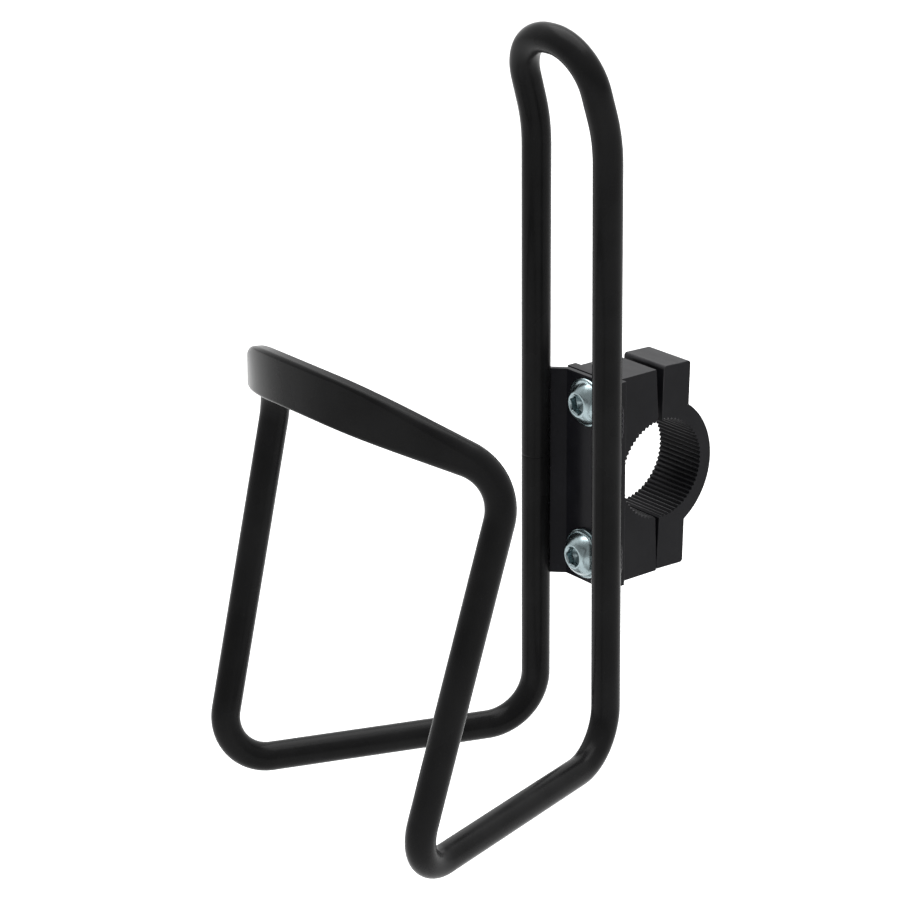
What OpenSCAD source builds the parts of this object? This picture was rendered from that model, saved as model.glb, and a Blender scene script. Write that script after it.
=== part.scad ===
// Water bottle cage with a two-piece handlebar clamp.
// The origin is the centre of the clamp bore. X runs along the handlebar,
// -Y points from the clamp towards the bottle, and Z is up. The left and right
// halves mirror each other in the plane x = 0.

/* [Cage tube] */
// Diameter of the bent tube
tube_d = 6.8; // [6:0.1:7]
// Distance between the centrelines of the two uprights at mid height
upright_spacing = 25; // [24:0.5:30]
// Distance from the bore axis forward to the upright centrelines
upright_offset = 21.9; // [21.9:0.1:24]
// Height of the lowest tube centreline below the bore axis
foot_drop = 64.9; // [60:0.1:70]
// Height of the middle of the top loop above the bore axis
loop_rise = 104.7; // [95:0.5:115]
// Distance from the upright centrelines forward to the front of the cage
cage_depth = 76; // [74:0.1:80]
// Half width of the cage across its two side arms
arm_half_w = 41.5; // [40.5:0.1:44]
// Width of the flattened band
band_w = 11.2; // [9:0.1:12.5]
// Thickness of the flattened band
band_t = 3.3; // [2.4:0.1:4]
// Radius of the flattened band's edges
band_edge_r = 0.9; // [0.5:0.1:1.1]
// Slope of the plane that the band lies in
band_slope = 31.2; // [25:0.1:33]
// Lean of the top loop towards the bottle
loop_lean = 16.4; // [10:0.2:20]
// Sides of the tube's cross-section
tube_sides = 20; // [12:4:24]
// Angle between two rings of a bend
ring_step = 10; // [8:1:15]

/* [Mounting plate] */
// Thickness of the pressed sheet
sheet_t = 1.6; // [1.2:0.1:2]
// Width of the flat floor between the two wings
web_w = 14.6; // [14:0.1:14.6]
// Distance from the upright centrelines back to the front of the floor
web_offset = 4.8; // [4.8:0.1:5.2]
// How far the 45 degree wings reach towards the bottle
wing_reach = 2.5; // [2.2:0.1:2.5]
// Height of the plate's upper edge
plate_top = 24.6; // [24:0.1:25.6]
// Height of the plate's lower edge
plate_bottom = -26.5; // [-27:0.1:-25.5]
// Outside radius of the sheet's bends
sheet_bend_r = 0.8; // [0.5:0.1:1]

/* [Clamp] */
// Bore diameter over the tips of the grip teeth
bore_d = 23.8; // [22.2:0.1:24.2]
// Depth of the grooves between the grip teeth
groove_depth = 0.4; // [0.2:0.05:0.5]
// Number of grooves round the bore
groove_count = 66; // [40:2:80]
// Width of both clamp halves along the handlebar
clamp_w = 14; // [12:0.5:16]
// Height of the block's upper face
clamp_top = 24.8; // [24.6:0.1:25.6]
// Height of the block's lower face
clamp_bottom = -25.5; // [-26:0.1:-25]
// Width of the block's front flange
block_flange_w = 17.8; // [15:0.2:18]
// Thickness of the block's front flange
block_flange_t = 2.5; // [2:0.1:3]
// Outer radius of the ring at the back of the cap
ring_r = 17.2; // [16:0.1:18]
// Backward tilt of the cap, which opens the slit at the top
cap_tilt = 1.7; // [0.5:0.1:1.8]

/* [Fasteners] */
// Distance between the two bolt axes
bolt_spacing = 37.4; // [37:0.1:38]
// Height of the point midway between the two bolts
bolt_centre_z = -0.3; // [-0.4:0.1:0.2]
// Thread diameter of the bolts
bolt_d = 6; // [5:0.5:6]
// Length of the bolts under the head
bolt_length = 25; // [24:1:25]
// Diameter of the collar of the bolt heads
head_d = 11.4; // [10:0.2:12]
// Height of the bolt heads
head_h = 3.3; // [2.8:0.1:3.5]
// Size of the hex socket across its flats
socket_af = 4; // [3:0.5:5]
// Depth of the hex socket
socket_depth = 2; // [1.5:0.1:2.2]
// Thickness of the washer
washer_t = 1; // [0.8:0.1:1.4]
// Diameter of the washer
washer_d = 12; // [11:0.2:12.5]
// Width of the nuts across their flats
nut_af = 10; // [9:0.5:10]
// Thickness of the nuts
nut_t = 5; // [4:0.5:5]

/* [Hidden] */
overcut = 1;
plate_black = [0.06, 0.06, 0.07];
tube_black = [0.09, 0.09, 0.1];
clamp_black = [0.16, 0.16, 0.17];
zinc = [0.78, 0.8, 0.8];

// ---- corners of the cage tube's centreline, right half ----
half_spacing = upright_spacing / 2;
band_half_w = 22;
shoulder_depth = 24;
shoulder_z = 25.6;
arm_tuck = 4.85;
front_bulge = 0.6;
front_lift = 2.5;
foot_splay = 0.35;
top_pinch = 0.3;
loop_pinch = 0.85;
loop_height = 21.6;
band_y = -upright_offset - cage_depth;
band_z = shoulder_z + shoulder_depth * tan(band_slope);
lean_y = -upright_offset - 0.2;
loop_y = lean_y - loop_height * tan(loop_lean);
band_mid = [0, band_y, band_z];
band_corner = [band_half_w, band_y, band_z];
shoulder_corner = [arm_half_w, band_y + shoulder_depth, shoulder_z];
front_corner = [arm_half_w - arm_tuck, band_y - front_bulge, -foot_drop + front_lift];
foot_corner = [half_spacing + foot_splay, -upright_offset, -foot_drop];
lean_corner = [half_spacing - top_pinch, lean_y, loop_rise - loop_height];
loop_corner = [half_spacing - loop_pinch, loop_y, loop_rise];
loop_mid = [0, loop_y, loop_rise];

// ---- radii of its bends, and where along it the flat band becomes round ----
band_r = 40;
shoulder_r = 12;
front_r = 10.7;
foot_r = 12.3;
lean_r = 37.9;
loop_r = 11.3;
flat_end = 11;
round_start = 55.3;
band_straight_rings = 1;

// ---- plate, clamp and fasteners, front to back along Y ----
web_y = -upright_offset + web_offset;
web_back_y = web_y + sheet_t;
mate_y = -1.3;
mate_top_y = -2.1;
mate_bend_z = 13;
inner_bend_r = 0.3;
slit_gap = 0.05;
cap_flange_t = 8.4;
cap_shift = 0.3;
ring_y = -2.4;
cap_top = clamp_top + cap_shift;
cap_bottom = clamp_bottom + cap_shift;
upper_z = bolt_centre_z + bolt_spacing / 2;
lower_z = bolt_centre_z - bolt_spacing / 2;
hole_d = bolt_d + 0.6;
washer_hole_d = bolt_d + 0.4;
nut_hole_d = bolt_d + 0.1;
pocket_af = nut_af + 0.2;
nut_back_y = mate_y + slit_gap + cap_flange_t;
nut_y = nut_back_y - nut_t;
nut_corner_d = nut_af / cos(30);
collar_h = 0.8;
dome_d = 10.5;
dome_top_d = 5.8;
bead_r = 1.3;
bead_inset = 0.5;
bead_y = web_y - 1;
bead_clearance = 0.1;
bead_length = 9;
bead_z = [17, -16.4];

function unit(v) = v / norm(v);

// Points on the arc of radius r that rounds corner b between a and c.
function arc_points(a, b, c, r, step) =
    let (u = unit(b - a),
         v = unit(c - b),
         turn = acos(u * v),
         start = b - u * r * tan(turn / 2),
         inward = unit(v - u * (u * v)),
         centre = start + inward * r,
         steps = max(2, ceil(turn / step)))
    [for (i = [0:steps])
        let (angle = turn * i / steps)
        centre - inward * r * cos(angle) + u * r * sin(angle)];

// A closed outline with corner i rounded to radius r[i]; 0 leaves it sharp.
function rounded(points, r) =
    let (n = len(points))
    [for (i = [0:n - 1])
        each r[i] == 0 ? [points[i]]
            : arc_points(points[(i + n - 1) % n], points[i], points[(i + 1) % n], r[i], 15)];

// ---- sweep of the tube ----
band_arc = arc_points(band_mid, band_corner, shoulder_corner, band_r, ring_step);
shoulder_arc = arc_points(band_corner, shoulder_corner, front_corner, shoulder_r, ring_step);
band_straight = shoulder_arc[0] - band_arc[len(band_arc) - 1];
half_path = concat(
    [band_mid],
    band_arc,
    [for (i = [1:band_straight_rings])
        band_arc[len(band_arc) - 1] + band_straight * i / (band_straight_rings + 1)],
    shoulder_arc,
    arc_points(shoulder_corner, front_corner, foot_corner, front_r, ring_step),
    arc_points(front_corner, foot_corner, lean_corner, foot_r, ring_step),
    arc_points(foot_corner, lean_corner, loop_corner, lean_r, ring_step),
    arc_points(lean_corner, loop_corner, loop_mid, loop_r, ring_step),
    [loop_mid]);
last = len(half_path) - 1;
band_last = len(band_arc) + band_straight_rings;

// Direction of the path at point i; both ends run straight across, along X.
function heading(i) =
    i == 0 ? [1, 0, 0]
    : i == last ? [-1, 0, 0]
    : unit(unit(half_path[i + 1] - half_path[i]) + unit(half_path[i] - half_path[i - 1]));

// Distance along the path from the middle of the band to each point.
distances = [for (i = 0, d = 0; i <= last;
                  d = d + norm(half_path[min(i + 1, last)] - half_path[i]), i = i + 1) d];

// Wide direction of the section at each point. The band stands upright, so that
// it lies flat on a bottle, and from the shoulder on it is carried without twist.
function without(v, t) = unit(v - t * (v * t));
wide = [for (i = 0, w = [0, 0, 1]; i <= last;
             i = i + 1,
             w = i > last ? w : without(i <= band_last ? [0, 0, 1] : w, heading(i))) w];

// Share of the flattening: 1 in the band, 0 where the tube is round.
function flatness(d) =
    let (f = min(1, max(0, (d - flat_end) / (round_start - flat_end))))
    1 - f * f * (3 - 2 * f);

// Section between a circle (k = 0) and the flat band (k = 1).
function section(k) =
    let (r = tube_d / 2 * (1 - k) + band_edge_r * k,
         half_w = (band_w / 2 - band_edge_r) * k,
         half_t = (band_t / 2 - band_edge_r) * k)
    [for (j = [0:tube_sides - 1])
        let (angle = 360 * (j + 0.5) / tube_sides)
        [r * cos(angle) + half_w * sign(cos(angle)), r * sin(angle) + half_t * sign(sin(angle))]];

half_rings = [for (i = [0:last])
    let (side = cross(heading(i), wide[i]))
    [for (p = section(flatness(distances[i]))) half_path[i] + wide[i] * p[0] + side * p[1]]];

function mirrored(ring) = [for (p = ring) [-p[0], p[1], p[2]]];
rings = concat(half_rings, [for (i = [last - 1:-1:1]) mirrored(half_rings[i])]);

module cage_tube() {
    n = len(rings);
    m = tube_sides;
    faces = [for (i = [0:n - 1], j = [0:m - 1])
        let (k = (i + 1) % n, l = (j + 1) % m)
        each [[i * m + j, k * m + j, k * m + l], [i * m + j, k * m + l, i * m + l]]];
    color(tube_black)
        polyhedron(points = [for (ring = rings) each ring], faces = faces, convexity = 6);
}

// Places its children on the axis of each bolt, turned to face the front.
module at_bolt(y, z) {
    translate([0, y, z])
        rotate([90, 0, 0])
            children();
}

// A round hole along Y through everything, at height z.
module bolt_hole(z) {
    at_bolt(30, z)
        cylinder(d = hole_d, h = 60, $fn = 48);
}

// Section of the plate, seen from above: a flat floor with a wing on each side.
module plate_section() {
    inner = web_w / 2;
    outer = inner + wing_reach;
    wing_y = web_y - wing_reach;
    thick = sheet_t * sin(45);
    shift = sheet_t * tan(22.5);
    right = [[inner, web_y], [outer, wing_y], [outer + thick, wing_y + thick],
             [inner + shift, web_back_y]];
    radii = [inner_bend_r, 0, 0, sheet_bend_r];
    left = [for (i = [3:-1:0]) [-right[i][0], right[i][1]]];
    polygon(rounded(concat(right, left), concat(radii, [for (i = [3:-1:0]) radii[i]])));
}

module plate_blank() {
    translate([0, 0, plate_bottom])
        linear_extrude(plate_top - plate_bottom)
            plate_section();
}

module mount_plate() {
    color(plate_black)
        difference() {
            plate_blank();
            bolt_hole(upper_z);
            bolt_hole(lower_z);
        }
}

// Four short beads behind the wings, in the corner between them and the uprights.
module weld_beads() {
    color(plate_black)
        difference() {
            for (side = [-1, 1], z = bead_z)
                translate([side * (upright_spacing / 2 - bead_inset), bead_y, z])
                    cylinder(r = bead_r, h = bead_length, center = true, $fn = 32);
            for (side = [-1, 1])
                translate([side * upright_spacing / 2, -upright_offset, plate_bottom])
                    cylinder(d = tube_d + bead_clearance, h = plate_top - plate_bottom, $fn = 64);
            plate_blank();
        }
}

// Outline drawn in Y and Z, extruded along X to the given width.
module across(outline, width) {
    rotate([90, 0, 90])
        translate([0, 0, -width / 2])
            linear_extrude(width)
                polygon(outline);
}

// The bore and the grooves between its grip teeth.
module grip_bore() {
    half_pitch = 180 / groove_count;
    root_r = bore_d / 2 + groove_depth;
    inner_r = bore_d / 2 - groove_depth;
    star = [for (i = [0:2 * groove_count - 1])
        let (r = i % 2 == 0 ? root_r : inner_r)
        [r * cos(i * half_pitch), r * sin(i * half_pitch)]];
    rotate([0, 90, 0]) {
        cylinder(d = bore_d, h = clamp_w + 2 * overcut, center = true, $fn = 96);
        translate([0, 0, -clamp_w / 2 - overcut])
            linear_extrude(clamp_w + 2 * overcut)
                polygon(star);
    }
}

module clamp_block() {
    flange_back_y = web_back_y + block_flange_t;
    outline = rounded([[web_back_y, clamp_bottom], [mate_y, clamp_bottom], [mate_y, mate_bend_z],
                       [mate_top_y, clamp_top], [web_back_y, clamp_top]],
                      [0, 0.6, 0, 0.8, 0]);
    flange = [[web_back_y, clamp_bottom], [flange_back_y, clamp_bottom],
              [flange_back_y, clamp_top], [web_back_y, clamp_top]];
    color(clamp_black)
        difference() {
            union() {
                across(outline, clamp_w);
                across(flange, block_flange_w);
            }
            grip_bore();
            bolt_hole(upper_z);
            bolt_hole(lower_z);
        }
}

module nut_pocket(z) {
    at_bolt(nut_y, z)
        mirror([0, 0, 1])
            cylinder(d = pocket_af / cos(30), h = 3 * nut_t, $fn = 6);
}

module clamp_cap() {
    front_y = mate_y + slit_gap;
    back_y = front_y + cap_flange_t;
    outline = rounded([[front_y, cap_bottom], [back_y, cap_bottom], [back_y, cap_top],
                       [front_y, cap_top]], [0.6, 0.8, 0.8, 0.8]);
    pivot = [0, mate_y, cap_bottom];
    color(clamp_black)
        difference() {
            translate(pivot)
                rotate([-cap_tilt, 0, 0])
                    translate(-pivot)
                        difference() {
                            union() {
                                across(outline, clamp_w);
                                translate([0, ring_y, 0])
                                    rotate([0, 90, 0])
                                        cylinder(r = ring_r, h = clamp_w, center = true, $fn = 96);
                            }
                            translate([-clamp_w, front_y - 2 * ring_r, -2 * ring_r])
                                cube([2 * clamp_w, 2 * ring_r, 4 * ring_r]);
                        }
            grip_bore();
            bolt_hole(upper_z);
            bolt_hole(lower_z);
            nut_pocket(upper_z);
            nut_pocket(lower_z);
        }
}

// A button head bolt with a hex socket; its head points along +Z from z = 0.
module button_bolt() {
    rise = head_h - collar_h;
    drop = ((dome_d * dome_d - dome_top_d * dome_top_d) / 4 - rise * rise) / (2 * rise);
    dome_r = sqrt(dome_d * dome_d / 4 + drop * drop);
    color(zinc)
        difference() {
            union() {
                translate([0, 0, -bolt_length])
                    cylinder(d = bolt_d, h = bolt_length + collar_h / 2, $fn = 48);
                cylinder(d = head_d, h = collar_h, $fn = 64);
                intersection() {
                    translate([0, 0, collar_h - drop])
                        sphere(r = dome_r, $fn = 64);
                    cylinder(d = head_d, h = head_h, $fn = 64);
                }
            }
            translate([0, 0, head_h - socket_depth])
                cylinder(d = socket_af / cos(30), h = socket_depth + overcut, $fn = 6);
        }
}

module bolt_upper() {
    at_bolt(web_y, upper_z)
        button_bolt();
}

module bolt_lower() {
    at_bolt(web_y - washer_t, lower_z)
        button_bolt();
}

module washer_lower() {
    color(zinc)
        at_bolt(web_y, lower_z)
            difference() {
                cylinder(d = washer_d, h = washer_t, $fn = 64);
                translate([0, 0, -overcut])
                    cylinder(d = washer_hole_d, h = washer_t + 2 * overcut, $fn = 48);
            }
}

// A hex nut whose front face is at z = 0; the nut lies below it.
module hex_nut() {
    color(zinc)
        difference() {
            translate([0, 0, -nut_t])
                cylinder(d = nut_corner_d, h = nut_t, $fn = 6);
            translate([0, 0, -nut_t - overcut])
                cylinder(d = nut_hole_d, h = nut_t + 2 * overcut, $fn = 48);
        }
}

module nut_upper() {
    at_bolt(nut_y, upper_z)
        hex_nut();
}

module nut_lower() {
    at_bolt(nut_y, lower_z)
        hex_nut();
}

cage_tube();
mount_plate();
weld_beads();
clamp_block();
clamp_cap();
bolt_upper();
bolt_lower();
washer_lower();
nut_upper();
nut_lower();
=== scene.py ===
import math

import bmesh
import bpy
from mathutils import Matrix, Vector


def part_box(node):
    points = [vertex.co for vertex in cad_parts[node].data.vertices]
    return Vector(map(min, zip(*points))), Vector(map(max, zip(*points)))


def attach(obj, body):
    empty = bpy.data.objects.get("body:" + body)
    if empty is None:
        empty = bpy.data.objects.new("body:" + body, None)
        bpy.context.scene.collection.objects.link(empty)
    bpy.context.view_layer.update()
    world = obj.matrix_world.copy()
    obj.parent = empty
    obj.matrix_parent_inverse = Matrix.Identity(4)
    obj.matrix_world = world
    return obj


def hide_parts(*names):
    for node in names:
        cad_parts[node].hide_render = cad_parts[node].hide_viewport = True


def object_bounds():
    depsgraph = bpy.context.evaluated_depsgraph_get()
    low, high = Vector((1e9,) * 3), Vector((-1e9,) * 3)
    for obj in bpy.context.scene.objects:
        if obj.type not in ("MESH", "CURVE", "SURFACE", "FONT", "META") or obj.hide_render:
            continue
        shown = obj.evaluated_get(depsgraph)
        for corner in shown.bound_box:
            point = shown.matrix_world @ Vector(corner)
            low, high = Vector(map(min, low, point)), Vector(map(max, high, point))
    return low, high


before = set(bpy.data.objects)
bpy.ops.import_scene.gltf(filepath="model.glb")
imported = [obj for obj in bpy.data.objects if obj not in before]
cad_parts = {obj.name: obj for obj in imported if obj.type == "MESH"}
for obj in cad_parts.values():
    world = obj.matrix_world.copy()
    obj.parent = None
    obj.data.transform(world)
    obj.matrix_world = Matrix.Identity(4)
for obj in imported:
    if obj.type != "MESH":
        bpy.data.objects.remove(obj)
cad_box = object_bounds()

# Lengths below are in millimetres, in the CAD's own frame; mesh_piece() turns them into metres.
MM = 0.001


def box_mm(node):
    """Lowest and highest corner of a CAD node, in millimetres."""
    low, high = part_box(node)
    return Vector(low) / MM, Vector(high) / MM


# ------------------------------------------------------------------ camera
CAMERA_AZIMUTH = 52.05
CAMERA_ELEVATION = 20.19
CAMERA_ROLL = -0.65
CAMERA_DISTANCE = 635.7
CAMERA_LENS = 114.4
CAMERA_AIM = Vector((0.0, -57.3, 16.1))


def make_camera():
    """The camera at the photograph's viewing angle."""
    azimuth, elevation, roll = (
        math.radians(a) for a in (CAMERA_AZIMUTH, CAMERA_ELEVATION, CAMERA_ROLL)
    )
    back = Vector((
        math.sin(azimuth) * math.cos(elevation),
        -math.cos(azimuth) * math.cos(elevation),
        math.sin(elevation),
    ))
    level = Vector((math.cos(azimuth), math.sin(azimuth), 0.0))
    upward = back.cross(level)
    right = level * math.cos(roll) + upward * math.sin(roll)
    up = upward * math.cos(roll) - level * math.sin(roll)
    place = Matrix((right, up, back)).transposed().to_4x4()
    place.translation = (CAMERA_AIM + back * CAMERA_DISTANCE) * MM
    data = bpy.data.cameras.new("camera")
    data.lens = CAMERA_LENS
    data.sensor_width = 36.0
    data.clip_start = 0.01
    camera = bpy.data.objects.new("camera", data)
    camera.matrix_world = place
    bpy.context.collection.objects.link(camera)
    bpy.context.scene.camera = camera


# ------------------------------------------------------------------ meshes
# Edges up to these angles in degrees are shaded smooth.
SMOOTH_ANGLE = 32.0
TURNED_ANGLE = 35.0
SOFT_ANGLE = 60.0
BEVEL_ANGLE = math.radians(50.0)  # only sharper edges are bevelled
BEVEL_SEGMENTS = 3
ARC_STEP = 10.0
CIRCLE_SIDES = 64


def mesh_piece(name, points, faces, sharp_angle=SMOOTH_ANGLE):
    """A mesh object from points in millimetres, smooth except across edges sharper than the angle."""
    mesh = bpy.data.meshes.new(name)
    mesh.from_pydata([Vector(p) * MM for p in points], [], faces)
    piece = bpy.data.objects.new(name, mesh)
    bpy.context.collection.objects.link(piece)
    tidy_normals(mesh, sharp_angle)
    return piece


def tidy_normals(mesh, sharp_angle=SMOOTH_ANGLE):
    """Turns all faces outward and marks the sharp edges."""
    work = bmesh.new()
    work.from_mesh(mesh)
    bmesh.ops.recalc_face_normals(work, faces=work.faces)
    for face in work.faces:
        face.smooth = True
    limit = math.radians(sharp_angle)
    for edge in work.edges:
        edge.smooth = len(edge.link_faces) != 2 or edge.calc_face_angle(0.0) < limit
    work.to_mesh(mesh)
    work.free()


def finish_piece(piece, body, material, slot, *nodes):
    """Gives a piece its material and its CAD body, and hides the nodes that it stands for; the slot
    argument is not used.
    """
    piece.data.materials.clear()
    piece.data.materials.append(material)
    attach(piece, body)
    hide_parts(*nodes)


def arc_points(a, b, c, radius, step):
    """Points of the arc that rounds corner b between a and c, one for each step in degrees."""
    u = (b - a).normalized()
    v = (c - b).normalized()
    turn = u.angle(v)
    start = b - u * radius * math.tan(turn / 2)
    inward = (v - u * u.dot(v)).normalized()
    centre = start + inward * radius
    steps = max(2, math.ceil(math.degrees(turn) / step))
    angles = [turn * i / steps for i in range(steps + 1)]
    return [centre - inward * radius * math.cos(t) + u * radius * math.sin(t) for t in angles]


def rounded(corners, step=ARC_STEP):
    """A closed outline from (x, y, radius) corners; radius 0 leaves a corner sharp."""
    points = [Vector((x, y)) for x, y, _ in corners]
    outline = []
    for i, (_, _, radius) in enumerate(corners):
        before, here, after = points[i - 1], points[i], points[(i + 1) % len(points)]
        outline += arc_points(before, here, after, radius, step) if radius else [here]
    return outline


def polygon(radius, sides=CIRCLE_SIDES):
    """A regular outline about the origin, with its first corner on the first axis."""
    turns = [math.tau * i / sides for i in range(sides)]
    return [Vector((math.cos(t), math.sin(t))) * radius for t in turns]


def ring_faces(first, second, count):
    """Faces that join two rings of count points, given the index at which each ring starts."""
    faces = []
    for i in range(count):
        j = (i + 1) % count
        faces.append((first + i, first + j, second + j, second + i))
    return faces


def extrude(name, outline, low, high, place):
    """A prism on the outline; place turns (x, y, height) into a point."""
    count = len(outline)
    points = [place(x, y, low) for x, y in outline] + [place(x, y, high) for x, y in outline]
    faces = [tuple(reversed(range(count))), tuple(range(count, 2 * count))]
    return mesh_piece(name, points, faces + ring_faces(0, count, count))


def bevel_edges(piece, width, chosen=lambda middle: True):
    """Rounds the sharp edges; chosen picks them by their middle, in millimetres."""
    work = bmesh.new()
    work.from_mesh(piece.data)
    edges = []
    for edge in work.edges:
        if len(edge.link_faces) == 2 and edge.calc_face_angle() > BEVEL_ANGLE:
            first, second = (v.co / MM for v in edge.verts)
            if chosen((first + second) / 2):
                edges.append(edge)
    bmesh.ops.bevel(
        work, geom=edges, offset=width * MM, segments=BEVEL_SEGMENTS, profile=0.5,
        affect="EDGES", clamp_overlap=True,
    )
    work.to_mesh(piece.data)
    work.free()


def weigh_normals(piece):
    """Keeps large faces flat beside rounded edges."""
    weigh = piece.modifiers.new("normals", "WEIGHTED_NORMAL")
    weigh.keep_sharp = True
    weigh.weight = 100


def combine(piece, others, operation="DIFFERENCE"):
    """Applies a boolean with each of the other objects to the piece and deletes them."""
    for other in others:
        step = piece.modifiers.new("combine", "BOOLEAN")
        step.operation = operation
        step.solver = "EXACT"
        step.object = other
    bpy.context.view_layer.update()
    evaluated = piece.evaluated_get(bpy.context.evaluated_depsgraph_get())
    result = bpy.data.meshes.new_from_object(evaluated)
    piece.modifiers.clear()
    piece.data = result
    for other in others:
        bpy.data.objects.remove(other)


# ------------------------------------------------------------------ materials
TUBE_TONE = (0.0080, 0.0080, 0.0082)
TUBE_ROUGHNESS = 0.26
PLATE_TONE = (0.0095, 0.0095, 0.0115)
PLATE_ROUGHNESS = 0.20
PLASTIC_DARK = (0.0052, 0.0052, 0.0064)
PLASTIC_LIGHT = (0.0078, 0.0078, 0.0092)
PLASTIC_WORN = (0.05, 0.05, 0.053)
ZINC_DARK = (0.20, 0.25, 0.26)
ZINC_LIGHT = (0.35, 0.43, 0.45)


def new_material(name):
    """A material with only a Principled shader; returns it with its node tree and that shader."""
    material = bpy.data.materials.new(name)
    material.use_nodes = True
    tree = material.node_tree
    shader = tree.nodes["Principled BSDF"]
    return material, tree, shader


def add_node(tree, kind, inputs=(), **settings):
    """A node with its settings and its inputs; an input is a value or another node's socket."""
    node = tree.nodes.new(kind)
    for key, value in settings.items():
        setattr(node, key, value)
    for key, value in dict(inputs).items():
        if isinstance(value, bpy.types.NodeSocket):
            tree.links.new(value, node.inputs[key])
        else:
            node.inputs[key].default_value = value
    return node


def noise_at(tree, scale, detail=3.0, stretch=(1.0, 1.0, 1.0)):
    """A noise texture's value in object space, with scale in features for each metre."""
    place = add_node(tree, "ShaderNodeTexCoord")
    mapping = add_node(tree, "ShaderNodeMapping", {"Vector": place.outputs["Object"], "Scale": stretch})
    texture = add_node(
        tree, "ShaderNodeTexNoise",
        {"Vector": mapping.outputs["Vector"], "Scale": scale, "Detail": detail, "Roughness": 0.55},
    )
    return texture.outputs["Fac"]


def remap(tree, value, low, high, to_low=0.0, to_high=1.0):
    """The value, stretched from low..high to to_low..to_high and held inside it."""
    node = add_node(
        tree, "ShaderNodeMapRange",
        {"Value": value, "From Min": low, "From Max": high, "To Min": to_low, "To Max": to_high},
    )
    return node.outputs["Result"]


def blend_colours(tree, factor, first, second):
    """A mix of two colours."""
    node = add_node(tree, "ShaderNodeMix", data_type="RGBA")
    tree.links.new(factor, node.inputs["Factor"])
    for socket, colour in ((6, first), (7, second)):
        if isinstance(colour, bpy.types.NodeSocket):
            tree.links.new(colour, node.inputs[socket])
        else:
            node.inputs[socket].default_value = (*colour, 1.0)
    return node.outputs[2]


def add_bump(tree, shader, layers):
    """Stacks bump layers of (height socket, strength, distance in millimetres)."""
    normal = None
    for height, strength, distance in layers:
        inputs = {"Height": height, "Strength": strength, "Distance": distance * MM}
        if normal is not None:
            inputs["Normal"] = normal
        normal = add_node(tree, "ShaderNodeBump", inputs).outputs["Normal"]
    tree.links.new(normal, shader.inputs["Normal"])


def black_paint(name, tone, roughness):
    """Sprayed black paint with a fine orange peel, faint smears and specks of dust."""
    material, tree, shader = new_material(name)
    patch = noise_at(tree, 60.0)
    peel = noise_at(tree, 900.0, 2.0)
    speck = noise_at(tree, 2600.0, 1.0)
    dark = tuple(c * 0.8 for c in tone)
    light = tuple(c * 1.25 for c in tone)
    ground = blend_colours(tree, remap(tree, patch, 0.35, 0.65), dark, light)
    dusty = tuple(c * 2.4 for c in tone)
    colour = blend_colours(tree, remap(tree, speck, 0.72, 0.78, 0.0, 0.6), ground, dusty)
    tree.links.new(colour, shader.inputs["Base Color"])
    smeared = remap(tree, patch, 0.3, 0.7, roughness - 0.05, roughness + 0.07)
    tree.links.new(smeared, shader.inputs["Roughness"])
    shader.inputs["Specular IOR Level"].default_value = 0.05
    add_bump(tree, shader, [(peel, 0.10, 0.05), (speck, 0.04, 0.02)])
    return material


def moulded_plastic():
    """Satin black nylon: a fine moulded grain with paler, rubbed edges."""
    material, tree, shader = new_material("clamp_plastic")
    patch = noise_at(tree, 90.0)
    grain = noise_at(tree, 3800.0, 2.0)
    flow = noise_at(tree, 160.0, 4.0, (0.3, 1.0, 1.0))
    tone = blend_colours(tree, remap(tree, patch, 0.35, 0.65), PLASTIC_DARK, PLASTIC_LIGHT)
    wear = add_node(tree, "ShaderNodeAttribute", attribute_name="edge_wear").outputs["Fac"]
    broken = add_node(
        tree, "ShaderNodeMath",
        {0: wear, 1: remap(tree, flow, 0.4, 0.65, 0.15, 0.8)}, operation="MULTIPLY",
    ).outputs[0]
    colour = blend_colours(tree, broken, tone, PLASTIC_WORN)
    tree.links.new(colour, shader.inputs["Base Color"])
    tree.links.new(remap(tree, flow, 0.3, 0.7, 0.34, 0.46), shader.inputs["Roughness"])
    shader.inputs["Specular IOR Level"].default_value = 0.08
    add_bump(tree, shader, [(grain, 0.16, 0.03), (flow, 0.05, 0.05)])
    return material


def zinc_plate():
    """Bright zinc plating with soft clouds, fine scratches and small pits."""
    material, tree, shader = new_material("zinc_steel")
    cloud = noise_at(tree, 240.0, 4.0)
    scratch = noise_at(tree, 1300.0, 3.0, (1.0, 0.2, 0.25))
    pits = noise_at(tree, 5200.0, 1.0)
    colour = blend_colours(tree, remap(tree, cloud, 0.3, 0.7), ZINC_DARK, ZINC_LIGHT)
    tree.links.new(colour, shader.inputs["Base Color"])
    shader.inputs["Metallic"].default_value = 1.0
    tree.links.new(remap(tree, scratch, 0.3, 0.7, 0.16, 0.34), shader.inputs["Roughness"])
    add_bump(tree, shader, [(scratch, 0.12, 0.03), (pits, 0.06, 0.02)])
    return material


# ------------------------------------------------------------------ cage tube
TUBE_R = 3.4
HALF_SPACING = 12.5
UPRIGHT_Y = -21.9
FOOT_Z = -64.9
LOOP_Z = 104.7
CAGE_DEPTH = 76.0
ARM_HALF_W = 41.5
ARM_TUCK = 4.85  # the arms lean in by this much towards the foot
SHOULDER_DEPTH = 24.0
SHOULDER_Z = 25.6
FRONT_BULGE = 0.6  # the lower front corners lie this far before the band
FRONT_LIFT = 2.5  # and this far above the foot
FOOT_SPLAY = 0.35  # the uprights stand a little further apart at the foot
TOP_PINCH = 0.3  # and a little closer together at the top
TOP_LEAN = 0.2
LOOP_PINCH = 0.85
LOOP_LEAN = 6.56  # the small loop above the uprights is bent forward
LOOP_HEIGHT = 21.6
BAND_HALF_W = 22.0
BAND_W = 11.2
BAND_T = 3.3
BAND_EDGE_R = 0.9
BAND_SLOPE = 31.2
BAND_R = 40.0
SHOULDER_R = 12.0
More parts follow.
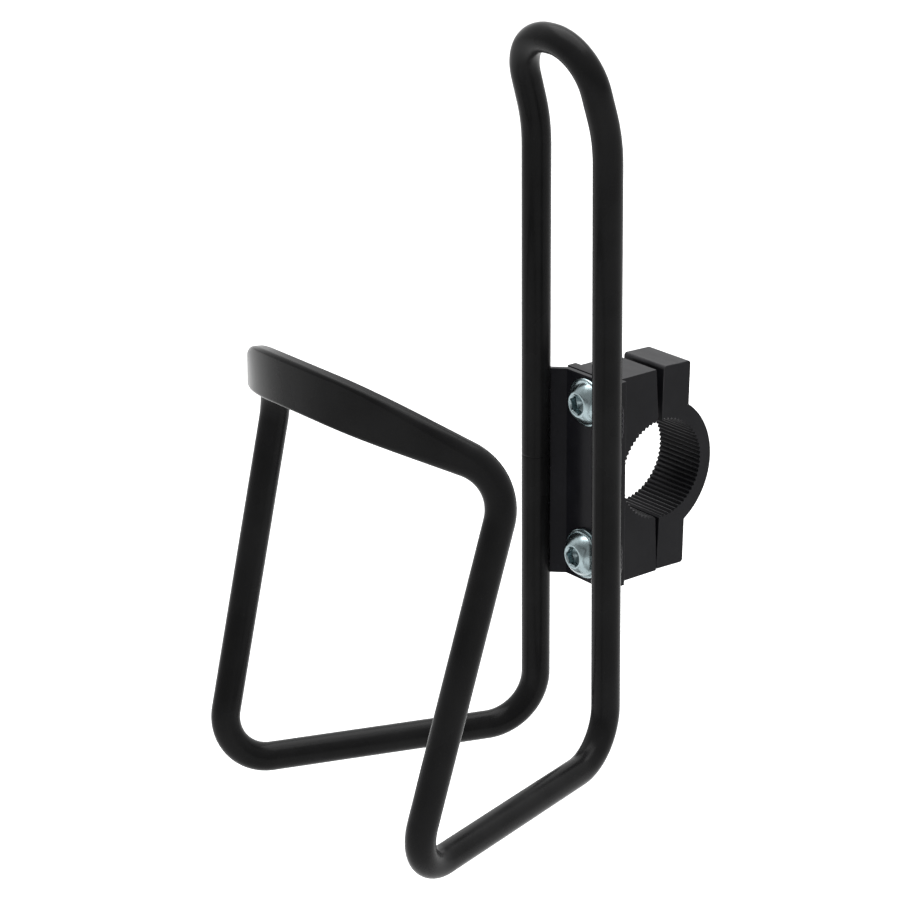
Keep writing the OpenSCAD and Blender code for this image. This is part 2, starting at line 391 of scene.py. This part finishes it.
FRONT_R = 10.7
FOOT_R = 12.3
LEAN_R = 37.9
LOOP_R = 11.3
# Distances along the tube from the middle of the band.
FLAT_END = 11.0
ROUND_START = 55.3
BAND_END = 42.0  # up to here the band stands upright, flat on the bottle
TUBE_SIDES = 48
BEND_STEP = 3.0
STRAIGHT_STEP = 2.0
SEAM_Z = 3.5
SEAM_W = 0.5
SEAM_DEPTH = 0.1
# Each point is a share of half the groove's width and a share of its depth.
SEAM_PROFILE = ((1.0, 0.0), (0.35, 1.0), (-0.35, 1.0), (-1.0, 0.0))


def cage_corners():
    """Corners of the tube's centreline, from the middle of the band to the top of the loop."""
    band_y = UPRIGHT_Y - CAGE_DEPTH
    band_z = SHOULDER_Z + SHOULDER_DEPTH * math.tan(math.radians(BAND_SLOPE))
    loop_y = UPRIGHT_Y - LOOP_LEAN
    corners = [
        (0.0, band_y, band_z),
        (BAND_HALF_W, band_y, band_z),
        (ARM_HALF_W, band_y + SHOULDER_DEPTH, SHOULDER_Z),
        (ARM_HALF_W - ARM_TUCK, band_y - FRONT_BULGE, FOOT_Z + FRONT_LIFT),
        (HALF_SPACING + FOOT_SPLAY, UPRIGHT_Y, FOOT_Z),
        (HALF_SPACING - TOP_PINCH, UPRIGHT_Y - TOP_LEAN, LOOP_Z - LOOP_HEIGHT),
        (HALF_SPACING - LOOP_PINCH, loop_y, LOOP_Z),
        (0.0, loop_y, LOOP_Z),
    ]
    return [Vector(c) for c in corners]


def spaced(first, last):
    """Points between two ends, ends left out, about STRAIGHT_STEP apart."""
    count = int((last - first).length // STRAIGHT_STEP)
    return [first.lerp(last, i / (count + 1)) for i in range(1, count + 1)]


def cage_path():
    """Centreline of the right half of the tube."""
    corners = cage_corners()
    radii = (BAND_R, SHOULDER_R, FRONT_R, FOOT_R, LEAN_R, LOOP_R)
    path = [corners[0]]
    for i, radius in enumerate(radii, 1):
        bend = arc_points(corners[i - 1], corners[i], corners[i + 1], radius, BEND_STEP)
        path += spaced(path[-1], bend[0]) + bend
    path += spaced(path[-1], corners[-1]) + [corners[-1]]
    return path


def flatness(distance):
    """1 where the tube is pressed flat, 0 where it is round."""
    f = min(1.0, max(0.0, (distance - FLAT_END) / (ROUND_START - FLAT_END)))
    return 1.0 - f * f * (3.0 - 2.0 * f)


def tube_section(flat_share):
    """The tube's section as (across, thick) points."""
    radius = TUBE_R * (1 - flat_share) + BAND_EDGE_R * flat_share
    half_w = (BAND_W / 2 - BAND_EDGE_R) * flat_share
    half_t = (BAND_T / 2 - BAND_EDGE_R) * flat_share
    section = []
    for j in range(TUBE_SIDES):
        angle = math.tau * (j + 0.5) / TUBE_SIDES
        across, thick = math.cos(angle), math.sin(angle)
        section.append((
            radius * across + math.copysign(half_w, across),
            radius * thick + math.copysign(half_t, thick),
        ))
    return section


def half_rings():
    """Rings of points round the right half of the tube."""
    path = cage_path()
    last = len(path) - 1
    upright = Vector((0.0, 0.0, 1.0))
    wide = upright
    travelled = 0.0
    rings = []
    for i, here in enumerate(path):
        if i == 0:
            heading = Vector((1.0, 0.0, 0.0))
        elif i == last:
            heading = Vector((-1.0, 0.0, 0.0))
        else:
            before = (here - path[i - 1]).normalized()
            heading = (before + (path[i + 1] - here).normalized()).normalized()
        if i:
            travelled += (here - path[i - 1]).length
        if travelled < BAND_END:
            wide = upright
        wide = (wide - heading * wide.dot(heading)).normalized()
        side = heading.cross(wide)
        section = tube_section(flatness(travelled))
        rings.append([here + wide * across + side * thick for across, thick in section])
    return rings


def with_seam(rings):
    """Adds the shallow groove of the tube's joint to the upright that these rings pass along."""
    for i in range(len(rings) - 1):
        above, below = rings[i], rings[i + 1]
        top, bottom = above[0].z, below[0].z
        upright = min(above[0].y, below[0].y) > UPRIGHT_Y - TUBE_R - 1.0
        if upright and top > SEAM_Z >= bottom:
            groove = []
            for offset, sink in SEAM_PROFILE:
                share = (top - SEAM_Z - offset * SEAM_W / 2) / (top - bottom)
                ring = [a.lerp(b, share) for a, b in zip(above, below)]
                middle = sum(ring, Vector()) / len(ring)
                groove.append([p.lerp(middle, sink * SEAM_DEPTH / TUBE_R) for p in ring])
            return rings[:i + 1] + groove + rings[i + 1:]
    return rings


def make_cage_tube():
    """The whole bent tube as one closed mesh with its joined seam on the left upright."""
    right = half_rings()
    left = with_seam([[Vector((-p.x, p.y, p.z)) for p in ring] for ring in right[-2:0:-1]])
    rings = right + left
    count = len(rings)
    points = [p for ring in rings for p in ring]
    faces = []
    for i in range(count):
        faces += ring_faces(i * TUBE_SIDES, (i + 1) % count * TUBE_SIDES, TUBE_SIDES)
    tube = mesh_piece("bent_tube", points, faces, SOFT_ANGLE)
    weigh_normals(tube)
    return tube


# ------------------------------------------------------------------ plate
WEB_W = 14.6
WEB_Y = -17.1
WING_ANGLE = 45.0
WING_REACH = 2.9  # the ends of the wings sink into the tube, as welded ends do
SHEET_T = 1.6
SHEET_BEND_R = 0.8
INNER_BEND_R = 0.3
SHEET_STEP = 9.0
SHEET_EDGE = 0.25
HOLE_R = 3.3
OVERCUT = 1.0


def plate_section():
    """Section of the pressed plate, seen from above: a flat floor with a bent wing each side."""
    bend = math.radians(WING_ANGLE)
    inner = WEB_W / 2
    outer = inner + WING_REACH
    wing_y = WEB_Y - WING_REACH * math.tan(bend)
    right = [
        (inner, WEB_Y, INNER_BEND_R),
        (outer, wing_y, 0.0),
        (outer + SHEET_T * math.sin(bend), wing_y + SHEET_T * math.cos(bend), 0.0),
        (inner + SHEET_T * math.tan(bend / 2), WEB_Y + SHEET_T, SHEET_BEND_R),
    ]
    left = [(-x, y, r) for x, y, r in reversed(right)]
    return rounded(right + left, SHEET_STEP)


def bolt_heights():
    """Heights of the two bolt axes."""
    heights = []
    for node in ("bolt_upper", "bolt_lower"):
        low, high = box_mm(node)
        heights.append((low.z + high.z) / 2)
    return heights


def bolt_hole(axis_z, start, end):
    """A cutter for the hole of the bolt at that height, from one y to another."""
    return extrude("hole", polygon(HOLE_R), start, end, lambda u, v, y: (u, y, axis_z + v))


def make_plate():
    """The pressed sheet plate with its two bolt holes."""
    low, high = box_mm("mount_plate")
    plate = extrude("pressed_plate", plate_section(), low.z, high.z, lambda x, y, z: (x, y, z))
    combine(plate, [bolt_hole(z, low.y - OVERCUT, high.y + OVERCUT) for z in bolt_heights()])
    bevel_edges(plate, SHEET_EDGE)
    tidy_normals(plate.data)
    weigh_normals(plate)
    return plate


WELD_R = 1.3
WELD_X = 12.0
WELD_Y = -18.1
WELD_LENGTH = 9.0
WELD_HEIGHTS = (17.0, -16.4)
WELD_RIPPLE = 1.3
RIPPLE_SHARE = 0.05
RIPPLE_BOW = 0.35
WELD_BLUNTNESS = 5
WELD_TIP_R = 0.02
WELD_SIDES = 20
WELD_RINGS = 40


def weld_ring(centre, along):
    """One ring of a weld bead; along runs from -1 at its lower end to 1 at its upper end."""
    taper = math.sqrt(max(0.0, 1 - abs(along) ** WELD_BLUNTNESS))
    ripple = RIPPLE_SHARE * math.sin(math.tau * along * WELD_LENGTH / 2 / WELD_RIPPLE)
    radius = max(WELD_TIP_R, WELD_R * taper * (1 - RIPPLE_SHARE + ripple))
    ring = []
    for i in range(WELD_SIDES):
        angle = math.tau * i / WELD_SIDES
        bow = RIPPLE_BOW * math.cos(angle * 2) * WELD_RIPPLE * ripple
        height = along * WELD_LENGTH / 2 + bow
        ring.append(centre + Vector((radius * math.cos(angle), radius * math.sin(angle), height)))
    return ring


def make_welds():
    """Four rippled weld beads in the corners between the plate's ends and the uprights."""
    points, faces = [], []
    for side in (-1, 1):
        for height in WELD_HEIGHTS:
            first = len(points)
            last = first + WELD_RINGS * WELD_SIDES
            for k in range(WELD_RINGS + 1):
                points += weld_ring(Vector((side * WELD_X, WELD_Y, height)), k / WELD_RINGS * 2 - 1)
            for start in range(first, last, WELD_SIDES):
                faces += ring_faces(start, start + WELD_SIDES, WELD_SIDES)
            faces.append(tuple(reversed(range(first, first + WELD_SIDES))))
            faces.append(tuple(range(last, last + WELD_SIDES)))
    return mesh_piece("weld_bead_set", points, faces, SOFT_ANGLE)


# ------------------------------------------------------------------ clamp
BORE_R = 11.9
GROOVE_DEPTH = 0.45
GROOVES = 66
LAND_SHARE = 0.16  # how much of the pitch the flat tip of a tooth takes
CLAMP_W = 14.0
CLAMP_TOP = 24.8
CLAMP_BOTTOM = -25.5
BLOCK_FLANGE_W = 17.8
BLOCK_FLANGE_T = 2.5
MATE_BEND_Z = 13.0  # above this the mating face of the front half leans forward
MATE_TOP_LEAN = 0.8
SLIT_GAP = 0.05  # between the halves at their lower edge, about which the rear half is tilted
CAP_TOP = 25.1
CAP_BOTTOM = -25.2
RING_R = 17.2
RING_Y = -2.4
CAP_FLANGE_T = 8.4
RING_STEPS = 48
CAP_TILT = 1.7
CAP_CORNER_R = 0.8
CAP_OVERCUT = 3.0
CLAMP_EDGE = 0.35
TOOTH_CLEARANCE = 0.15
HOLE_CLEARANCE = 0.2
WORN_W = 0.3  # faces narrower than this are rubbed paler
POCKET_AF = 10.2
POCKET_OVERCUT = 12.0


def bore_points(start, end):
    """Toothed bore from one angle to another, in degrees; 0 is +Y and 90 is +Z."""
    pitch = 360.0 / GROOVES
    land = pitch * LAND_SHARE / 2
    tooth = ((0.0, BORE_R + GROOVE_DEPTH), (pitch / 2 - land, BORE_R), (pitch / 2 + land, BORE_R))
    low, high = min(start, end), max(start, end)
    points = []
    for i in range(-GROOVES, GROOVES * 2):
        for offset, radius in tooth:
            angle = pitch * i + offset
            if low < angle < high:
                turn = math.radians(angle)
                points.append(Vector((radius * math.cos(turn), radius * math.sin(turn))))
    return points if start < end else points[::-1]


def clamp_prism(name, outline, width=CLAMP_W):
    """An outline in Y and Z, extruded across the clamp."""
    return extrude(name, outline, -width / 2, width / 2, lambda y, z, x: (x, y, z))


def bore_angle(y):
    """Angle in degrees at which the bore meets the plane at y, above the axis."""
    return math.degrees(math.acos(y / BORE_R))


def mark_wear(piece):
    """Marks the narrow faces along the edges, so that the material rubs them paler."""
    mesh = piece.data
    wear = mesh.attributes.new("edge_wear", "FLOAT", "FACE")
    for face in mesh.polygons:
        corners = [mesh.vertices[v].co for v in face.vertices]
        sides = [(corners[i] - corners[i - 1]).length for i in range(len(corners))]
        narrow = len(corners) == 4 and min(sides) < WORN_W * MM
        wear.data[face.index].value = 1.0 if narrow else 0.0


def round_clamp(piece):
    """Rounds the outer edges of a clamp half, but not the teeth or the bolt holes."""

    def on_rim(middle):
        outside = math.hypot(middle.y, middle.z) > BORE_R + GROOVE_DEPTH + TOOTH_CLEARANCE
        from_bolt = min(math.hypot(middle.x, middle.z - z) for z in bolt_heights())
        return outside and from_bolt >= HOLE_R + HOLE_CLEARANCE

    bevel_edges(piece, CLAMP_EDGE, on_rim)
    tidy_normals(piece.data)
    mark_wear(piece)
    weigh_normals(piece)


def make_block():
    """The front clamp half: a body with its half of the toothed bore, and a wider front flange."""
    low, high = box_mm("clamp_block")
    mate = high.y
    top_angle = bore_angle(mate)
    bore = bore_points(360.0 - top_angle, top_angle)
    below = [Vector((low.y, CLAMP_TOP)), Vector((low.y, CLAMP_BOTTOM)), Vector((mate, CLAMP_BOTTOM))]
    above = [Vector((mate, MATE_BEND_Z)), Vector((mate - MATE_TOP_LEAN, CLAMP_TOP))]
    block = clamp_prism("clamp_front_half", below + bore + above)
    back = low.y + BLOCK_FLANGE_T
    corners = ((low.y, CLAMP_TOP), (low.y, CLAMP_BOTTOM), (back, CLAMP_BOTTOM), (back, CLAMP_TOP))
    flange = clamp_prism("flange", [Vector(c) for c in corners], BLOCK_FLANGE_W)
    combine(block, [flange], "UNION")
    combine(block, [bolt_hole(z, low.y - OVERCUT, high.y + OVERCUT) for z in bolt_heights()])
    round_clamp(block)
    return block


def hex_corner(across_flats):
    """Distance from the centre of a hexagon to its corners."""
    return across_flats / 2 / math.cos(math.radians(30))


def nut_pocket(axis_z):
    """A cutter for the pocket of the nut at that height; two of its corners point sideways."""
    low, high = box_mm("nut_upper")
    outline = polygon(hex_corner(POCKET_AF), 6)
    return extrude("pocket", outline, low.y, high.y + POCKET_OVERCUT, lambda u, v, y: (u, y, axis_z + v))


def cap_outline(front, back):
    """The cap before it is tilted: a flange with rounded corners and part of a ring behind it."""
    low_front, low_back = Vector((front, CAP_BOTTOM)), Vector((back, CAP_BOTTOM))
    top_front, top_back = Vector((front, CAP_TOP)), Vector((back, CAP_TOP))
    reach = math.acos((back - RING_Y) / RING_R)
    turns = [reach * (2 * i / RING_STEPS - 1) for i in range(RING_STEPS + 1)]
    ring = [Vector((RING_Y, 0.0)) + Vector((math.cos(t), math.sin(t))) * RING_R for t in turns]
    lower = [low_front] + arc_points(low_front, low_back, top_back, CAP_CORNER_R, ARC_STEP)
    upper = arc_points(low_back, top_back, top_front, CAP_CORNER_R, ARC_STEP)
    upper += arc_points(top_back, top_front, low_front, CAP_CORNER_R, ARC_STEP)
    return lower + ring + upper


def make_cap():
    """The rear clamp half: flange, ring, toothed bore and two nut pockets."""
    mate = box_mm("clamp_block")[1].y
    nut_front = box_mm("nut_upper")[0].y
    front = mate + SLIT_GAP
    pivot = Vector((mate, CAP_BOTTOM))
    tilt = math.radians(CAP_TILT)
    turn = Matrix.Rotation(-tilt, 2)
    outer = [pivot + turn @ (p - pivot) for p in cap_outline(front, front + CAP_FLANGE_T)]
    lean = math.tan(tilt)
    top_angle = bore_angle(front + lean * (BORE_R - CAP_BOTTOM))
    bottom_angle = bore_angle(front + lean * (-BORE_R - CAP_BOTTOM))
    cap = clamp_prism("clamp_rear_half", outer + bore_points(top_angle, -bottom_angle))
    cutters = []
    for z in bolt_heights():
        cutters += [bolt_hole(z, front - CAP_OVERCUT, nut_front + OVERCUT), nut_pocket(z)]
    combine(cap, cutters)
    round_clamp(cap)
    return cap


# ------------------------------------------------------------------ fasteners
BOLT_R = 3.0
CORE_R = 2.5
FILLET_R = 0.25
FILLET_MID = 0.08
HEAD_R = 5.7
HEAD_H = 3.3
COLLAR_H = 0.8
DOME_R = 5.25
DOME_TOP_R = 2.9
DOME_STEPS = 12
SOCKET_AF = 4.2
SOCKET_DEPTH = 2.0
PITCH = 1.0
THREAD_DEPTH = 0.5
THREAD_PLAY = 0.02
CREST_SHARE = 0.12  # how much of the pitch the thread's flat crest takes, and its flat root as well
THREAD_STEPS = 12
THREAD_START = 0.6
NECK_LENGTH = 1.5  # plain part of the shank under the head
TURN_SEGMENTS = 96


def hex_radius(across_flats, angle):
    """Distance from the centre of a hexagon to its side in that direction."""
    sixth = math.tau / 6
    return across_flats / 2 / math.cos((angle + sixth / 2) % sixth - sixth / 2)


def turned_points(rows, place):
    """Rings of points round an axis; a row's radius or height may be a function of the angle."""
    points = []
    for radius, height in rows:
        for i in range(TURN_SEGMENTS):
            angle = math.tau * i / TURN_SEGMENTS
            r = radius(angle) if callable(radius) else radius
            h = height(angle) if callable(height) else height
            points.append(place(r * math.cos(angle), r * math.sin(angle), h))
    return points


def turned_mesh(name, rows, place):
    """A closed turned mesh, whose first and last rows are points on the axis."""
    points = [place(0.0, 0.0, rows[0][1])] + turned_points(rows[1:-1], place)
    last = len(points)
    points.append(place(0.0, 0.0, rows[-1][1]))
    faces = []
    for start in range(1, last - TURN_SEGMENTS, TURN_SEGMENTS):
        faces += ring_faces(start, start + TURN_SEGMENTS, TURN_SEGMENTS)
    for i in range(TURN_SEGMENTS):
        j = (i + 1) % TURN_SEGMENTS
        faces += [(0, 1 + j, 1 + i), (last - TURN_SEGMENTS + i, last - TURN_SEGMENTS + j, last)]
    return mesh_piece(name, points, faces, TURNED_ANGLE)


def turned_ring(name, rows, place):
    """A ring-shaped turned mesh from a closed profile."""
    faces = []
    for k in range(len(rows)):
        faces += ring_faces(k * TURN_SEGMENTS, (k + 1) % len(rows) * TURN_SEGMENTS, TURN_SEGMENTS)
    return mesh_piece(name, turned_points(rows, place), faces, TURNED_ANGLE)


def thread_at(height):
    """Radius of an M6 thread at that height, as a function of the angle."""

    def radius(angle):
        phase = (height / PITCH - angle / math.tau) % 1.0
        flank = (abs(2.0 * phase - 1.0) - CREST_SHARE) / (1.0 - 2.0 * CREST_SHARE)
        return BOLT_R - THREAD_PLAY - THREAD_DEPTH * min(1.0, max(0.0, flank))

    return radius


def shank_rows(length):
    """Profile of a bolt's point, thread, neck and the fillet under its head, which is at height 0."""
    rows = [(0.0, -length), (CORE_R - 0.2, -length), (CORE_R, -length + 0.1)]
    start = -length + THREAD_START
    steps = int((-NECK_LENGTH - start) / PITCH * THREAD_STEPS)
    for i in range(steps + 1):
        height = start + i * PITCH / THREAD_STEPS
        rows.append((thread_at(height), height))
    rows += [(BOLT_R, -NECK_LENGTH + 0.4), (BOLT_R, -FILLET_R)]
    return rows + [(BOLT_R + FILLET_MID, -FILLET_MID), (BOLT_R + FILLET_R, 0.0)]


def head_rows():
    """Profile of a button head: a collar with rounded edges, then a dome up to its flat top."""
    rows = [(HEAD_R - 0.25, 0.0), (HEAD_R - 0.1, 0.05), (HEAD_R, 0.2), (HEAD_R, COLLAR_H - 0.25)]
    rows += [(HEAD_R - 0.08, COLLAR_H - 0.06), (HEAD_R - 0.25, COLLAR_H), (DOME_R + 0.05, COLLAR_H + 0.05)]
    rise = HEAD_H - COLLAR_H
    drop = (DOME_R ** 2 - DOME_TOP_R ** 2 - rise ** 2) / (2 * rise)
    dome = math.hypot(DOME_R, drop)
    low, high = math.asin(drop / dome), math.asin((drop + rise) / dome)
    for i in range(DOME_STEPS + 1):
        a = low + (high - low) * i / DOME_STEPS
        rows.append((dome * math.cos(a), COLLAR_H - drop + dome * math.sin(a)))
    return rows


def socket_rows():
    """Profile of the hexagon socket, from the flat top down to the middle of its floor."""
    mouth = hex_corner(SOCKET_AF)
    floor = HEAD_H - SOCKET_DEPTH

    def side(angle):
        return hex_radius(SOCKET_AF, angle)

    rows = [(DOME_TOP_R - 0.15, HEAD_H), (mouth + 0.1, HEAD_H), (mouth, HEAD_H - 0.08)]
    rows += [(side, HEAD_H - 0.3), (side, HEAD_H - 0.9), (side, floor + 0.1)]
    return rows + [(SOCKET_AF / 2 - 0.15, floor), (0.0, floor - 0.5)]


def make_bolt(name, node, turn):
    """A bolt whose head faces the bottle; turn is the angle of its socket in degrees."""
    low, high = box_mm(node)
    axis_z = (low.z + high.z) / 2
    seat = low.y + HEAD_H
    spin = math.radians(turn)

    def place(u, v, height):
        x = u * math.cos(spin) - v * math.sin(spin)
        z = u * math.sin(spin) + v * math.cos(spin)
        return (x, seat - height, axis_z + z)

    return turned_mesh(name, shank_rows(high.y - seat) + head_rows() + socket_rows(), place)


WASHER_BORE_R = 3.2
WASHER_EDGE = 0.12


def make_washer():
    """The plain washer under the lower head, with rounded edges."""
    low, high = box_mm("washer_lower")
    axis_z = (low.z + high.z) / 2
    outer = (high.z - low.z) / 2
    thick = high.y - low.y
    edge = WASHER_EDGE
    rows = [
        (WASHER_BORE_R, edge), (WASHER_BORE_R + edge, 0.0), (outer - edge, 0.0), (outer, edge),
        (outer, thick - edge), (outer - edge, thick), (WASHER_BORE_R + edge, thick),
        (WASHER_BORE_R, thick - edge),
    ]
    return turned_ring("plain_washer", rows, lambda u, v, h: (u, low.y + h, axis_z + v))


NUT_AF = 10.0
NUT_BORE_R = 3.05
NUT_MOUTH_R = 3.5
NUT_MOUTH_DEPTH = 0.5
NUT_ROUND_R = 4.85  # the chamfer of the corners starts from a circle a little inside the flats
NUT_CHAMFER_ANGLE = 30.0


def make_nut(name, node):
    """A hex nut with chamfered corners and a chamfered bore."""
    low, high = box_mm(node)
    axis_z = (low.z + high.z) / 2
    thick = high.y - low.y
    slope = math.tan(math.radians(NUT_CHAMFER_ANGLE))

    def side(angle):
        return hex_radius(NUT_AF, angle)

    def bottom(angle):
        return (side(angle) - NUT_ROUND_R) * slope

    def top(angle):
        return thick - bottom(angle)

    rows = [
        (NUT_BORE_R, NUT_MOUTH_DEPTH), (NUT_MOUTH_R, 0.0), (NUT_ROUND_R, 0.0), (side, bottom),
        (side, top), (NUT_ROUND_R, thick), (NUT_MOUTH_R, thick), (NUT_BORE_R, thick - NUT_MOUTH_DEPTH),
    ]
    return turned_ring(name, rows, lambda u, v, h: (u, low.y + h, axis_z + v))


# ------------------------------------------------------------------ stage
# Places and sizes here are in metres.
FLOOR_R = 6.0
FLOOR_GAP = 0.12
FLOOR_TONE = 0.75
DIM_SIDE = 0.5
BRIGHT_SIDE = 1.6
WHITE = (1.0, 1.0, 1.0, 1.0)
LAMP_PLACE = (-0.2, 0.3, 1.6)
LAMP_AIM = (0.0, -0.04, 0.0)
LAMP_SIZE = 1.8
LAMP_POWER = 55.0


def make_stage():
    """A wide, plain pale floor under the object."""
    bottom = cad_box[0][2] - FLOOR_GAP
    mesh = bpy.data.meshes.new("studio_floor")
    mesh.from_pydata([(x, y, bottom) for x, y in polygon(FLOOR_R)], [], [tuple(range(CIRCLE_SIDES))])
    floor = bpy.data.objects.new("studio_floor", mesh)
    bpy.context.collection.objects.link(floor)
    material, _, shader = new_material("studio_floor")
    shader.inputs["Base Color"].default_value = (FLOOR_TONE, FLOOR_TONE, FLOOR_TONE, 1.0)
    shader.inputs["Roughness"].default_value = 1.0
    shader.inputs["Specular IOR Level"].default_value = 0.0
    mesh.materials.append(material)


def make_world():
    """A white studio: bright behind the object and above it, dim on the camera's side."""
    world = bpy.data.worlds.new("studio")
    bpy.context.scene.world = world
    world.use_nodes = True
    tree = world.node_tree
    azimuth = math.radians(CAMERA_AZIMUTH)
    behind = Vector((-math.sin(azimuth), math.cos(azimuth), 0.35)).normalized()
    place = add_node(tree, "ShaderNodeTexCoord")
    facing = add_node(
        tree, "ShaderNodeVectorMath", {0: place.outputs["Generated"], 1: behind}, operation="DOT_PRODUCT"
    ).outputs["Value"]
    strength = remap(tree, facing, -0.3, 0.9, DIM_SIDE, BRIGHT_SIDE)
    around = tree.nodes["Background"]
    around.inputs["Color"].default_value = WHITE
    tree.links.new(strength, around.inputs["Strength"])
    white = add_node(tree, "ShaderNodeBackground", {"Color": WHITE, "Strength": 1.0})
    seen = add_node(tree, "ShaderNodeLightPath")
    mix = add_node(tree, "ShaderNodeMixShader", {
        0: seen.outputs["Is Camera Ray"], 1: around.outputs[0], 2: white.outputs[0],
    })
    tree.links.new(mix.outputs[0], tree.nodes["World Output"].inputs["Surface"])


def make_lamp():
    """One large soft box above the object."""
    data = bpy.data.lights.new("top_box", "AREA")
    data.shape = "RECTANGLE"
    data.size, data.size_y = LAMP_SIZE, LAMP_SIZE
    data.energy = LAMP_POWER
    lamp = bpy.data.objects.new("top_box", data)
    lamp.location = LAMP_PLACE
    lamp.rotation_euler = (Vector(LAMP_AIM) - Vector(LAMP_PLACE)).to_track_quat("-Z", "Y").to_euler()
    bpy.context.collection.objects.link(lamp)


# ------------------------------------------------------------------ build
make_camera()
make_stage()
make_world()
make_lamp()
bpy.context.scene.view_settings.view_transform = "Standard"

tube_paint = black_paint("tube_paint", TUBE_TONE, TUBE_ROUGHNESS)
plate_paint = black_paint("plate_paint", PLATE_TONE, PLATE_ROUGHNESS)
plastic = moulded_plastic()
zinc = zinc_plate()

finish_piece(make_cage_tube(), "frame", tube_paint, "tube_paint", "cage_tube")
finish_piece(make_plate(), "frame", plate_paint, "plate_paint", "mount_plate")
finish_piece(make_welds(), "frame", plate_paint, "plate_paint", "weld_beads")
finish_piece(make_block(), "frame", plastic, "clamp_plastic", "clamp_block")
finish_piece(make_cap(), "cap", plastic, "clamp_plastic", "clamp_cap")
finish_piece(make_bolt("bolt_top", "bolt_upper", 12.0), "upper_bolt", zinc, "zinc_steel", "bolt_upper")
finish_piece(make_bolt("bolt_bottom", "bolt_lower", 28.0), "lower_bolt", zinc, "zinc_steel", "bolt_lower")
finish_piece(make_washer(), "frame", zinc, "zinc_steel", "washer_lower")
finish_piece(make_nut("nut_top", "nut_upper"), "cap", zinc, "zinc_steel", "nut_upper")
finish_piece(make_nut("nut_bottom", "nut_lower"), "cap", zinc, "zinc_steel", "nut_lower")
